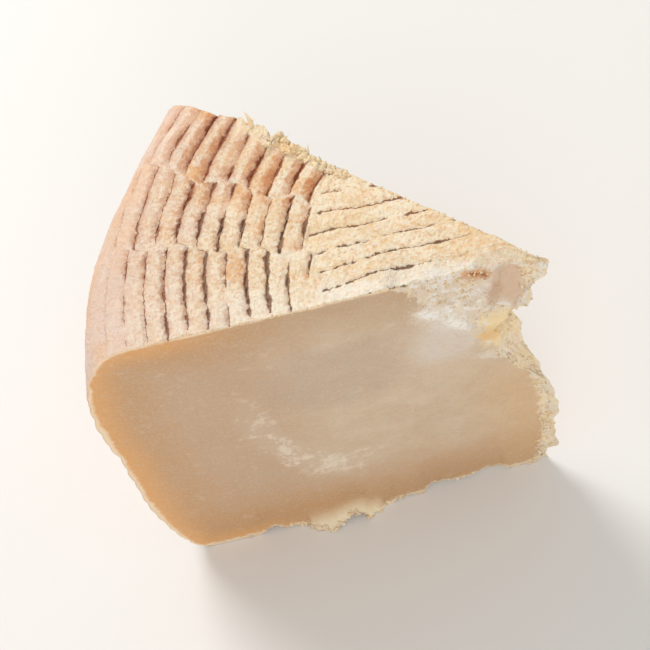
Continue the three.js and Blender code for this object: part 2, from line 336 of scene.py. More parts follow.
# The pressed lines of the top: rings in three panels, and nearly parallel furrows inside them. A line lies
# where the place across, in pitches, is a whole number, and its groove is a bell about it. Returns that
# place, the way along the lines in mm, their strength, panel, groove, ridge tint and the panels' seams.
def topLines(x, y, r, degrees):
    wander = rings["seamWander"] * noise(r / 4.1, 3, 8)
    farEnd, nearEnd = rings["ends"][0] + wander, rings["ends"][1] - 0.8 * wander
    panel = (degrees > farEnd).astype(int) + (degrees > nearEnd)
    toSeam = np.minimum(np.abs(degrees - farEnd), np.abs(degrees - nearEnd))
    pitch = rings["pitch"][panel]
    ringPlace = (r - rings["first"][panel]) / pitch + 0.09 * noise(degrees / 6, r / 14, panel + 3)
    ringAlong = r * np.radians(degrees)
    ring = np.round(ringPlace)
    toNear = r * (wedge["halfAngle"] - np.radians(degrees))
    ringStrength = ease(toSeam + 0.5 * noise(ring * 2.1, panel * 5, 3), -0.2, 0.9)
    ringStrength = ringStrength * ease(ringPlace, -0.35, -0.1) * (1 - 0.75 * ease(r, *rings["weaker"]))
    whole = noise(ringAlong / 5, ring * 5.7, panel * 9.1) + 0.95 - rings["gaps"][panel]
    ringStrength = ringStrength * ease(whole, 0, 0.9)
    ringStrength = ringStrength * ease(toNear + 1.2 * noise(ring * 3.3, 4, 6), -0.3, 1.2)

    limit = firstRing(degrees)
    turn = lerp(furrows["turnNear"], furrows["turnFar"], (y / (limit * math.sin(wedge["halfAngle"])) + 1) / 2)
    across = y * np.cos(turn) - x * np.sin(turn) + 0.35 * noise(x / 7, y / 7, 5)
    along = x * np.cos(turn) + y * np.sin(turn)
    line = np.round(across / furrows["pitch"])
    dashes = ease(noise(along / 4.2, line * 7.3, 4) + 0.7 * noise(along / 0.9, line * 3.1, 9) + 0.6, 0, 0.8)
    fade = ease(r, furrows["fadeRadius"], 2 * furrows["fadeRadius"]) * ease(limit - r, 0.3, 1.5)

    ringed = r > limit - 0.9
    place = np.where(ringed, ringPlace, across / furrows["pitch"])
    along = np.where(ringed, ringAlong, along)
    group = np.where(ringed, panel, 3)
    strength = np.where(ringed, ringStrength, dashes * fade)
    place = place + 0.035 * noise(along / 1.5, np.round(place) * 3, group * 5)
    offset = (place - np.round(place)) * np.where(ringed, pitch, furrows["pitch"])
    half = np.where(ringed, np.where(offset > 0, rings["gentle"], rings["steep"]), furrows["halfWidth"])
    groove = bump(offset / half) * strength
    ridge = np.floor(place)
    tint = 0.5 + 0.5 * noise(ridge * 3.7, along / 9, group * 5.3)
    tint = tint + 0.25 * noise(ridge * 2.9, along / 3, group * 4.1)
    seam = np.where(ringed, 1 - ease(toSeam, 0.1, 1.6), 0)
    return place, along, strength, group, groove, tint, seam


# Every point of a box's surface as whole numbers (i, j, k), and outward quads that share their points.
def latticeShell(nx, ny, nz):
    outside = np.ones((nx + 1, ny + 1, nz + 1), bool)
    outside[1:-1, 1:-1, 1:-1] = False
    ids = np.full(outside.shape, -1)
    ids[outside] = np.arange(outside.sum())

    def sheet(face, turned):
        quads = np.stack([face[:-1, :-1], face[1:, :-1], face[1:, 1:], face[:-1, 1:]], -1).reshape(-1, 4)
        return quads[:, ::-1] if turned else quads

    quads = np.concatenate([
        sheet(ids[:, :, 0], False), sheet(ids[:, :, -1], True),
        sheet(ids[:, 0], True), sheet(ids[:, -1], False),
        sheet(ids[0], False), sheet(ids[-1], True),
    ])
    return np.argwhere(outside), quads


# The rind's side, fading inwards: bands are a sharpened cosine of height, and fine lines one that wanders.
def sideRelief(u, v, z, degrees):
    band = np.abs(np.cos(math.pi * z / side["linePitch"])) ** side["lineSharpness"]
    wander = side["fineWander"] * noise(degrees / 6, 0, z / 9)
    fine = np.cos(2 * math.pi * (z / side["fineLinePitch"] + wander))
    fine = fine * (0.5 + 0.5 * noise(degrees / 3, 2, z / 4))
    calm = ease(z, *side["calmHeights"])
    grit = side["grit"] * calm * grain(degrees * 1.6, 0, z, 1.6, 3)
    uneven = side["uneven"] * noise(0, v * 6, z / 14) - side["lineDepth"] * band
    return ease(u, side["from"], 1.0) * (uneven + calm * side["fineLine"] * fine + grit)


# The snapped point's crags, fading inwards and at the base.
def pointRelief(u, v, z, degrees):
    crumbly = crags(0, v * 6, z, breakage["cragSize"]) + 0.45 * grain(degrees / 3, v * 9, z, 1.7, 1)
    return ease(1 - u / breakage["cragShare"], 0, 1) * ease(z, 0, 1.5) * breakage["cragDepth"] * crumbly


# How far the near cut is set back: craggy in the broken corner, plus the bell-shaped scoop, never deeper than
# the wedge is thick there, plus the lean of the base.
def nearInset(r, z, w, patch):
    rough = 0.8 + 0.5 * crags(r, 40, z, breakage["cragSize"]) + 0.7 * grain(r, 3, z, 2.6, 5)
    scoop = bump((r - breakage["scoopRadius"]) / breakage["scoopHalf"])
    scoop = breakage["scoopDepth"] * scoop * bump((z - breakage["scoopHeight"]) / breakage["scoopRise"])
    chip = np.minimum(breakage["inset"] * rough * patch + scoop, breakage["deepest"] * halfWidth(r))
    return chip + wedge["baseTuck"] * (1 - w) * np.maximum(0, 1 - r / wedge["baseTuckReach"])


# The near cut's torn lower edge: eased noise lifts it and sets it back. Returns the moves in y and z.
def tornEdge(r, v, w):
    torn = ease(noise(r / edges["tornSize"], 5, 2), -0.4, 0.7) * ease(wedge["flatRadius"] - r, 0, 10)
    ragged = grain(r, 0, 6, 2.2, 2) * ease(wedge["flatRadius"] + 4 - r, 0, 12)
    back = (1 - v) ** 4 * edges["tornInset"] * torn * bump(w / edges["tornHeight"])
    back = back + (1 - v) ** 10 * (edges["raggedInset"] * ragged * bump(w / 0.02))
    lift = edges["tornLift"] * torn + edges["raggedLift"] * np.maximum(0, ragged)
    return back, (1 - v) ** 4 * lift * np.maximum(0, 1 - w / edges["liftHeight"])


# The scrap that hangs on the lower edge is half an ellipse along it, thinning upwards as a bell.
def scrapShape(r, z):
    ellipse = np.sqrt(np.maximum(0, 1 - ((r - edges["flakeRadius"]) / edges["flakeHalf"]) ** 2))
    return ellipse * bump(z / edges["flakeHeight"])


# Torn paste on the far cut's upper edge: a bell along it and a bell downwards, made ragged.
def burrReach(r, z):
    burr = bump((r - edges["burrRadius"]) / edges["burrHalf"])
    burr = burr * bump((wedge["height"] - z) / edges["burrDrop"])
    return edges["burrReach"] * burr * (0.7 + noise(r / 2.5, 1, 8) + 0.5 * grain(r, 1, z, 1.5, 4))


# The top's relief: waves and grit, ridges of uneven height that rise outwards, less the grooves between them
# and the sag over the broken corner, plus the torn lip along the far edge.
def topRelief(x, y, r, v, inRings, lines):
    place, along, strength, group, groove = lines
    calm = ease(topCorner + 2 - r, 0, 9)
    sag = breakage["sink"] * broken(r, wedge["height"]) * (1 - ease(v, 0, 0.5))
    sag = sag * (1 + crags(x, y, 3, breakage["cragSize"]))
    lift = surface["wave"] * noise(x / 9, y / 9, 2) * ease(topCorner - r, 0, 6) - sag
    lift = lift - lerp(furrows["depth"], rings["depth"], inRings) * groove * (0.3 + 0.7 * calm)
    lift = lift + surface["bark"] * (1 + calm) * grain(x, y, 8, 2.2, 4)
    lift = lift + surface["grit"] * grain(x, y, 4, 1.1, 3)
    lift = lift + surface["ridge"] * calm * noise(np.floor(place) * 2.3, along / 12, group * 3.1)
    lift = lift + rings["tilt"] * calm * inRings * strength * (place - np.floor(place) - 0.5)
    lip = v ** edges["hold"] * ease(r, *edges["lipStart"]) * (1 - ease(r, *edges["lipEnd"]))
    return lift + edges["lipHeight"] * lip * np.maximum(0, 0.8 + 1.4 * grain(r, 5, v * 40, 2.4, 9))


# Bends points of the unit box into the wedge. u runs from the point to the rind, v from the near cut to the
# far cut and w from base to top. Height comes from the outline at u, radius from the outline at w, and each
# side's relief fades with distance from it. Returns places in the part's frame in mm, and the paint's facts.
def bendWedge(u, v, w):
    w = w - wedge["crowding"] * np.sin(2 * math.pi * w)
    angle = lerp(wedge["halfAngle"], -wedge["halfAngle"], v)
    degrees = np.degrees(angle)
    rTop = lerp(wedge["tipRadius"], topCorner, u)
    zTop = topHeight(rTop) - wedge["tipDroop"] * (1 - ease(rTop, 0, wedge["droopReach"]))
    toNear = rTop * (wedge["halfAngle"] - angle)
    dip = bump((rTop - breakage["dipRadius"]) / breakage["dipSpread"]) * bump(toNear / breakage["dipSpread"])
    zTop = zTop - breakage["dipDepth"] * dip
    z = lerp(baseHeight(lerp(wedge["tipRadius"], baseCorner, u)), zTop, w)
    rSide = sideRadius(lerp(baseHeight(baseCorner), topHeight(topCorner), w))
    r = lerp(pointRadius(v, z), rSide, u) - wedge["farShrink"] * u ** 3 * ease(v, 0, 1)
    r += sideRelief(u, v, z, degrees)
    r += pointRelief(u, v, z, degrees)
    x = -r * np.cos(angle)
    y = -halfWidth(r) * np.sin(angle) / math.sin(wedge["halfAngle"])

    # the cuts, each with powers of v or 1 - v that keep a move to one edge
    patch = broken(r, z)
    y += nearInset(r, z, w, patch) * (1 - v)
    back, lift = tornEdge(r, v, w)
    y += back
    z += lift
    hangs = scrapShape(r, z)
    nearOnly, farOnly = (1 - v) ** edges["hold"], v ** edges["hold"]
    uneven = 0.85 + 0.3 * noise(r / 2, 9, 4) + 0.3 * grain(r, 4, z, 1.7, 8)
    y -= nearOnly * edges["flakeReach"] * hangs * uneven
    y += v ** 12 * burrReach(r, z)
    rough = edges["roughness"] * np.clip(bump((r - 4) / 4.5) + patch, 0, 1) * ease(z, 0, 2)
    y -= nearOnly * rough * grain(r, 0, z, 2.2, 6)
    y += farOnly * rough * grain(r, 9, z, 2.2, 7)

    # the top
    onTop = np.clip(1 - (zTop - z) / surface["reach"], 0, 1) ** 1.5 * ease(w, 0.6, 0.9)
    place, along, strength, group, groove, tint, seam = topLines(x, y, r, degrees)
    inRings = ease(r - firstRing(degrees), -1.5, 0.5)
    z += onTop * topRelief(x, y, r, v, inRings, (place, along, strength, group, groove))

    belowTop = topHeight(np.minimum(r, topCorner)) - z
    aboveBase = z - baseHeight(np.minimum(r, baseCorner))
    inScoop = bump((r - breakage["hollowRadius"]) / breakage["hollowRadius"]) * (v < 0.5)
    facts = {
        "linePlace": place,
        "lineAlong": along,
        "lineStrength": strength * onTop,
        "lineGroup": group,
        "inRings": inRings,
        "tint": np.clip(tint, 0, 1),
        "seam": seam * onTop,
        "scoop": inScoop * bump((z - breakage["scoopHeight"]) / breakage["hollowRise"]),
        "scrap": nearOnly * scrapShape(r, z),
        "crumbly": np.clip(patch, 0, 1) * ease(v, 1, 0.6),
        "radius": r,
        "angle": degrees,
        "rindDepth": np.maximum(np.minimum(np.minimum(belowTop, sideRadius(z) - r), aboveBase), 0),
    }
    return np.stack([x + wedge["axisX"], y + wedge["axisY"], z], -1), facts


# A new object in the scene from points in metres and faces that all have the same number of corners.
def meshFrom(name, points, quads):
    mesh = bpy.data.meshes.new(name)
    mesh.vertices.add(len(points))
    mesh.vertices.foreach_set("co", np.asarray(points, np.float32).ravel())
    sides = quads.shape[1]
    mesh.loops.add(quads.size)
    mesh.loops.foreach_set("vertex_index", quads.ravel().astype(np.int32))
    mesh.polygons.add(len(quads))
    mesh.polygons.foreach_set("loop_start", np.arange(0, quads.size, sides, dtype=np.int32))
    mesh.polygons.foreach_set("loop_total", np.full(len(quads), sides, np.int32))
    mesh.update(calc_edges=True)
    mesh.validate()
    piece = bpy.data.objects.new(name, mesh)
    bpy.context.scene.collection.objects.link(piece)
    return piece


# Stores one number for each point of the mesh, for the paint to read.
def addFact(mesh, name, values):
    store = mesh.attributes.new(name, "FLOAT", "POINT")
    store.data.foreach_set("value", np.asarray(values, np.float32).ravel())


# The wedge: a box's surface, bent. What the paint needs goes into the mesh as one number for each point.
def makeWedge():
    nx, ny, nz = wedge["stepsOut"], wedge["stepsAcross"], wedge["stepsUp"]
    lattice, quads = latticeShell(nx, ny, nz)
    u, v, w = lattice[:, 0] / nx, lattice[:, 1] / ny, lattice[:, 2] / nz
    points, facts = bendWedge(u, v, w)
    piece = meshFrom("cheeseWedge", points * mm, quads)
    mesh = piece.data
    mesh.polygons.foreach_set("use_smooth", np.ones(len(quads), bool))
    mesh.set_sharp_from_angle(angle=wedge["sharpAngle"])
    facts["rind"] = ((lattice[:, 0] == nx) | (lattice[:, 2] == nz) | (lattice[:, 2] == 0)).astype(float)
    facts["cutNear"] = (lattice[:, 1] == 0).astype(float)
    facts["point"] = (lattice[:, 0] == 0).astype(float)
    for name, values in facts.items():
        addFact(mesh, name, values)
    return piece


cheese = makeWedge()
print("wedge made:", len(cheese.data.polygons), "quads")

# its paint


# A shader value. Arithmetic on it adds Math nodes, and make adds any other node.
class Wire:
    def __init__(self, tree, socket=None):
        self.tree = tree
        self.socket = socket

    def make(self, kind, settings=None, values=None, out=0):
        node = self.tree.nodes.new(kind)
        for name, value in (settings or {}).items():
            setattr(node, name, value)
        for name, value in (values or {}).items():
            if isinstance(value, Wire):
                self.tree.links.new(value.socket, node.inputs[name])
            else:
                node.inputs[name].default_value = value
        return Wire(self.tree, node.outputs[out])

    def maths(self, operation, *values, clamp=False):
        settings = {"operation": operation, "use_clamp": clamp}
        return self.make("ShaderNodeMath", settings, dict(enumerate(values)))

    def __add__(self, other):
        return self.maths("ADD", self, other)

    def __radd__(self, other):
        return self.maths("ADD", other, self)

    def __sub__(self, other):
        return self.maths("SUBTRACT", self, other)

    def __rsub__(self, other):
        return self.maths("SUBTRACT", other, self)

    def __mul__(self, other):
        return self.maths("MULTIPLY", self, other)

    def __truediv__(self, other):
        return self.maths("DIVIDE", self, other)

    # eased step from 0 at low to 1 at high
    def step(self, low, high):
        return self.make("ShaderNodeMapRange", {"interpolation_type": "SMOOTHSTEP"},
                         {"Value": self, "From Min": low, "From Max": high})

    def clamped(self):
        return self.maths("ADD", self, 0.0, clamp=True)

    # this mask lays colour b over colour a
    def blend(self, a, b):
        settings = {"data_type": "RGBA", "clamp_factor": True}
        return self.make("ShaderNodeMix", settings, {0: self, 6: a, 7: b}, out=2)


# An sRGB colour given as 0-255 numbers, as linear light: a straight line near black and a power above it.
def rgb(*levels):
    shares = [level / 255 for level in levels]
    return (*[c / 12.92 if c <= 0.04045 else ((c + 0.055) / 1.055) ** 2.4 for c in shares], 1)


look = {
    "paste": rgb(205, 180, 152),
    "pasteLight": rgb(214, 193, 167),
    "pasteGrey": rgb(190, 168, 147),
    "golden": rgb(199, 153, 108),
    "goldenDeep": rgb(228, 169, 104),
    "goldenTip": rgb(220, 182, 134),
    # painted shade for the paste near the base, also used for a faint mottle
    "goldenShadeAndMottle": rgb(186, 146, 104),
    "fleck": rgb(232, 217, 196),
    "rimLine": rgb(240, 214, 180),
    "crumb": rgb(240, 220, 194),
    "crumbYellow": rgb(246, 224, 184),
    "tornPaste": rgb(226, 208, 188),
    "pasteDim": rgb(193, 161, 132),
    "pasteTop": rgb(189, 157, 124),
    "flankRed": rgb(190, 134, 106),
    "tornShade": rgb(194, 166, 138),
    "haze": rgb(222, 212, 202),
    "stripe": rgb(240, 200, 140),
    "crestPink": rgb(230, 200, 184),
    "scrap": rgb(246, 230, 196),
    "yellow": rgb(247, 221, 172),
    "spot": rgb(230, 178, 104),
    "crest": rgb(237, 210, 170),
    "crestPale": rgb(248, 232, 205),
    "orange": rgb(232, 178, 120),
    "halo": rgb(216, 158, 102),
    # orange of the ridges' flanks, partly painted shade on the side away from the light
    "flankAndShade": rgb(205, 136, 86),
    "groove": rgb(160, 92, 58),
    "grooveGrey": rgb(134, 100, 76),
    "bloom": rgb(222, 195, 181),
    "bloomOrange": rgb(225, 180, 142),
    # white powder, also used for the painted highlight along the lip of the near cut
    "powder": rgb(246, 242, 234),
    "fracture": rgb(218, 190, 164),
    # painted shade for the edge of the hollow beside the point
    "fractureDeep": rgb(184, 134, 92),
}
hazes = {
    # in the paste: colour, middle (mm, part frame), half lengths (mm), turn about Y (degrees), weight
    "greyHeart": ("pasteGrey", (6.3, -14, 74), (24, 12, 17), 0, 0.6),
    "paleHaze": ("pasteLight", (25.3, -6.5, 71), (13, 9, 15), 0, 0.6),
    "blueHaze": ("haze", (27.0, -6, 76), (10, 8, 13), -40, 0.65),
}
marks = {
    # the same, over paste and rind
    "clump": ("fleck", (-3.5, -17.6, 30.5), (7, 5, 3), 25, 0.6),
    "clumpSmall": ("fleck", (-11.0, -20.4, 36.6), (2.2, 5, 2.4), 0, 0.75),
    "yellowZone": ("yellow", (37.5, -2.5, 75.5), (6.0, 7, 9), 0, 0.9),
    "goldenSpot": ("spot", (34.4, -3.6, 73.7), (2.6, 5, 3.0), 0, 0.6),
    "paleBand": ("powder", (35.8, -3, 64.5), (6.5, 5, 2.2), -20, 0.4),
    "paleCorner": ("powder", (31.8, -4.2, 90), (4.6, 4, 5), 0, 0.3),
    # partly white powder and partly painted highlight along the lip where the near cut breaks away
    "lipHighlightUpper": ("powder", (24.0, -7.2, 89.8), (4.4, 5, 1.5), -52, 0.95),
    "lipHighlightLower": ("powder", (28.9, -5.6, 83.0), (4.6, 5, 1.6), -56, 0.95),
    "lipHighlightHaze": ("powder", (26.3, -6.4, 86.0), (9.5, 5, 4.5), -54, 0.35),
    "topPowder": ("powder", (27.8, -5.6, 102.5), (3.8, 2.6, 4), 0, 0.8),
    "tipPowder": ("powder", (31.5, -3.2, 104), (3, 1.5, 2), 0, 0.25),
    "orangeHalo": ("halo", (34.3, -3.7, 100.4), (3.8, 3.0, 3.0), 0, 0.95),
    "darkSpot": ("groove", (33.5, -3.9, 100.6), (1.0, 2.8, 1.6), 0, 0.95),
    "darkSpotTwo": ("groove", (35.2, -3.3, 99.9), (0.9, 2.6, 1.3), 0, 0.95),
    # painted shade: a dark line along the outer edge of the hollow beside the point
    "scoopEdgeShade": ("fractureDeep", (36.5, -2.8, 90), (2.0, 4, 6.5), -12, 0.5),
}
zones = {
    # where one colour passes into the next, from none of it to all of it, in mm
    "warmUnderRind": (22, 2),
    "warmRadius": (36, 76),
    "lowWarm": (36, 4),
    # painted shade: the paste darkens towards the base
    "lowShade": (30, 2),
    "tipRadius": (24, 8),
    "tipHeight": (70, 45),
    "dimRadius": (46, 64),
    "topUnderRind": (20, 2),
    "topRadius": (16, 30),
    "cornerUnderRind": (9, 1),
    "cornerRadius": (54, 80),
    "arcHeight": (80, 55),
    "arcRadius": (34, 44),
    "underRind": (1.5, 0.5),
    "lowBorder": (2.6, 0.8),
    "pointBorder": (5.4, 3.4),
    "pinkRadius": (50, 80),
    "redRadius": (52, 66),
    "rimLines": (66, 82),
    "rimGrooves": (62, 78),
    "rimBloom": (76, 86),
    "bloomDown": (101.5, 94),
    "bloomRadius": (40, 60),
    "farEdge": (3.0, 1.4),
    "farEdgeStart": (45, 50),
    "farEdgeEnd": (71, 64),
}
arc = {"radius": 44, "height": 68, "halfWide": 20, "halfTall": 38}  # the flecks lie along this ellipse


# What every paint starts from: the mesh's own facts and noises of several sizes, all in object coordinates.
class Ground:
    def __init__(self, name):
        self.material = bpy.data.materials.new(name)
        self.material.use_nodes = True
        self.tree = self.material.node_tree
        self.base = Wire(self.tree)
        self.place = self.base.make("ShaderNodeTexCoord", out=3)
        self.height = self.base.make("ShaderNodeSeparateXYZ", {}, {"Vector": self.place}, out=2) * 1000
        self.slow, self.middling = self.cloud(38, 3), self.cloud(150, 4)
        self.fine, self.speckle = self.cloud(620, 4, 0.65), self.cloud(1500, 2, 0.6)
        self.lumps, self.pebbles = self.cloud(820, 2, 0.5), self.cloud(1900, 2, 0.6)

    def facts(self, *names):
        return [self.base.make("ShaderNodeAttribute", {"attribute_name": name}, out=2) for name in names]

    def cloud(self, scale, detail=4.0, roughness=0.55, vector=None, distortion=0.0):
        return self.base.make("ShaderNodeTexNoise", {}, {
            "Vector": vector or self.place, "Scale": scale, "Detail": detail,
            "Roughness": roughness, "Distortion": distortion})

    # noise along the pressed lines: how fast it changes across them, along them and from panel to panel
    def lineCloud(self, across, along, panel, detail=3, roughness=0.7):
        place = self.base.make("ShaderNodeCombineXYZ", {}, {0: across, 1: along, 2: panel})
        return self.cloud(1.0, detail, roughness, place)

    # pale crumb, yellower in lumps, with powder on it
    def crumbColour(self):
        yellower = (self.middling * 0.6 + self.cloud(900, 2) * 0.5).step(0.42, 0.66)
        colour = yellower.blend(look["crumb"], look["crumbYellow"])
        return (self.fine.step(0.55, 0.7) * 0.3).blend(colour, look["powder"])

    # a soft mark: 1 inside an ellipsoid, 0 outside it, with its edge broken up by a cloud
    def spot(self, mark, cloud, ragged):
        middle, reach, turn, weight = mark[1:]
        centred = self.base.make("ShaderNodeVectorMath", {"operation": "SUBTRACT"},
                                 {0: self.place, 1: tuple(c * mm for c in middle)})
        turned = self.base.make("ShaderNodeVectorRotate", {"rotation_type": "Y_AXIS"},
                                {"Vector": centred, "Angle": math.radians(turn)})
        scaled = self.base.make("ShaderNodeVectorMath", {"operation": "DIVIDE"},
                                {0: turned, 1: tuple(c * mm for c in reach)})
        away = self.base.make("ShaderNodeVectorMath", {"operation": "LENGTH"}, {0: scaled}, out=1)
        return (away + (cloud - 0.5) * ragged * 2).step(1.2, 0.5) * weight

    # joins a colour, a height in mm and a roughness to the material's shader
    def finish(self, colour, height, roughness, subsurface):
        shader = self.tree.nodes["Principled BSDF"]
        relief = self.base.make("ShaderNodeBump", {}, {"Strength": 0.8, "Distance": mm, "Height": height})
        self.tree.links.new(colour.socket, shader.inputs["Base Color"])
        self.tree.links.new(relief.socket, shader.inputs["Normal"])
        self.tree.links.new(roughness.socket, shader.inputs["Roughness"])
        shader.inputs["Specular IOR Level"].default_value = 0.3
        shader.inputs["Subsurface Weight"].default_value = subsurface
        shader.inputs["Subsurface Radius"].default_value = (0.003, 0.0018, 0.001)
        shader.inputs["Subsurface Scale"].default_value = 1.0
        return self.material


# The cut paste: beige inside, golden towards rind and base, flecks along an arc, a pale line under the rind,
# and painted shade that darkens it towards the base.
def pasteColour(ground, fibres):
    slow, middling, fine = ground.slow, ground.middling, ground.fine
    lumps, height = ground.lumps, ground.height
    radius, depth, cutNear = ground.facts("radius", "rindDepth", "cutNear")
    paste = (middling * 0.5 + slow * 0.5).step(0.35, 0.65).blend(look["paste"], look["pasteLight"])
    for mark in hazes.values():
        paste = ground.spot(mark, slow, 0.9).blend(paste, look[mark[0]])
    dim = (radius + (slow - 0.5) * 20).step(*zones["dimRadius"])
    paste = (dim * 0.8).blend(paste, look["pasteDim"])
    underTop = (depth + (slow - 0.5) * 8).step(*zones["topUnderRind"]) * radius.step(*zones["topRadius"])
    paste = (underTop * 0.75).blend(paste, look["pasteTop"])
    warm = (depth + (slow - 0.5) * 12 + (middling - 0.5) * 3).step(*zones["warmUnderRind"])
    warm = warm * radius.step(*zones["warmRadius"])
    low = height.step(*zones["lowWarm"]) * 0.8
    paste = (warm * 0.85 + low * 0.9).clamped().blend(paste, look["golden"])
    tipWarm = radius.step(*zones["tipRadius"]) * height.step(*zones["tipHeight"])
    paste = (tipWarm * 0.6).blend(paste, look["goldenTip"])
    # painted shade: darker towards the base, where less light reaches
    paste = (height.step(*zones["lowShade"]) * 0.4).blend(paste, look["goldenShadeAndMottle"])
    corner = (depth + (slow - 0.5) * 5).step(*zones["cornerUnderRind"]) * radius.step(*zones["cornerRadius"])
    paste = (corner * 0.8).blend(paste, look["goldenDeep"])

    paste = (fibres.step(0.46, 0.7) * 0.2).blend(paste, look["pasteLight"])
    paste = (fibres.step(0.52, 0.34) * 0.15).blend(paste, look["goldenDeep"])
    paste = (ground.pebbles.step(0.5, 0.66) * 0.16).blend(paste, look["fleck"])
    paste = (lumps.step(0.5, 0.36) * 0.1).blend(paste, look["goldenShadeAndMottle"])

    across, up = (radius - arc["radius"]) / arc["halfWide"], (height - arc["height"]) / arc["halfTall"]
    square = across * across + up * up
    ring = square.maths("SQRT", square)
    onArc = ring.step(0.72, 0.98) * ring.step(1.32, 1.02) * height.step(*zones["arcHeight"])
    onArc = onArc * radius.step(*zones["arcRadius"]) * cutNear
    paste = (onArc * 0.4).blend(paste, look["pasteLight"])
    flecks = (ground.cloud(360, 5, 0.72) * 0.7 + ground.cloud(130, 3) * 0.3 + onArc * 0.09).step(0.55, 0.66)
    paste = (flecks * (0.2 + onArc * 0.5)).blend(paste, look["fleck"])
    underRind = (depth + (fine - 0.5) * 1.4 + (middling - 0.5) * 1.4).step(*zones["underRind"])
    return underRind.blend(paste, look["rimLine"])


# Crumbs over the paste at the point, the base and the broken corner, but not in the smooth hollow there.
# Returns the colour and where the crumbs are.
def crumbledPaste(ground, paste, crumbColour, rind):
    middling, fine, lumps = ground.middling, ground.fine, ground.lumps
    radius, crumbly, point, scrap, scoop = ground.facts("radius", "crumbly", "point", "scrap", "scoop")
    low = (ground.height + (lumps - 0.5) * 5).step(*zones["lowBorder"])
    border = (radius + (middling - 0.5) * 7 + (fine - 0.5) * 2).step(*zones["pointBorder"])
    smooth = (scoop + (fine - 0.5) * 0.4).step(0.14, 0.4)
    torn = (crumbly + (lumps - 0.5) * 0.9 + (middling - 0.5) * 0.9).step(0.3, 0.7)
    crumbs = (border + torn + point + scrap + low * 0.8).clamped() * (1 - smooth)
    paste = crumbs.blend(paste, crumbColour)
    paste = (scrap * 1.2).clamped().blend(paste, look["scrap"])
    patches = torn * (1 - rind)
    paste = (patches * 0.8).blend(paste, look["tornPaste"])
    paste = (patches * ground.cloud(420, 4, 0.65).step(0.47, 0.6) * 0.7).blend(paste, look["powder"])
    shaded = ground.cloud(300, 4, 0.65, distortion=0.4).step(0.53, 0.66)
    paste = (patches * shaded * 0.5).blend(paste, look["tornShade"])
    paste = (patches * ground.cloud(230, 3, 0.6).step(0.57, 0.68) * 0.3).blend(paste, look["yellow"])
    hollow = (radius + (middling - 0.5) * 4).step(1.5, 5).blend(look["crumb"], look["fracture"])
    return smooth.blend(paste, hollow), crumbs
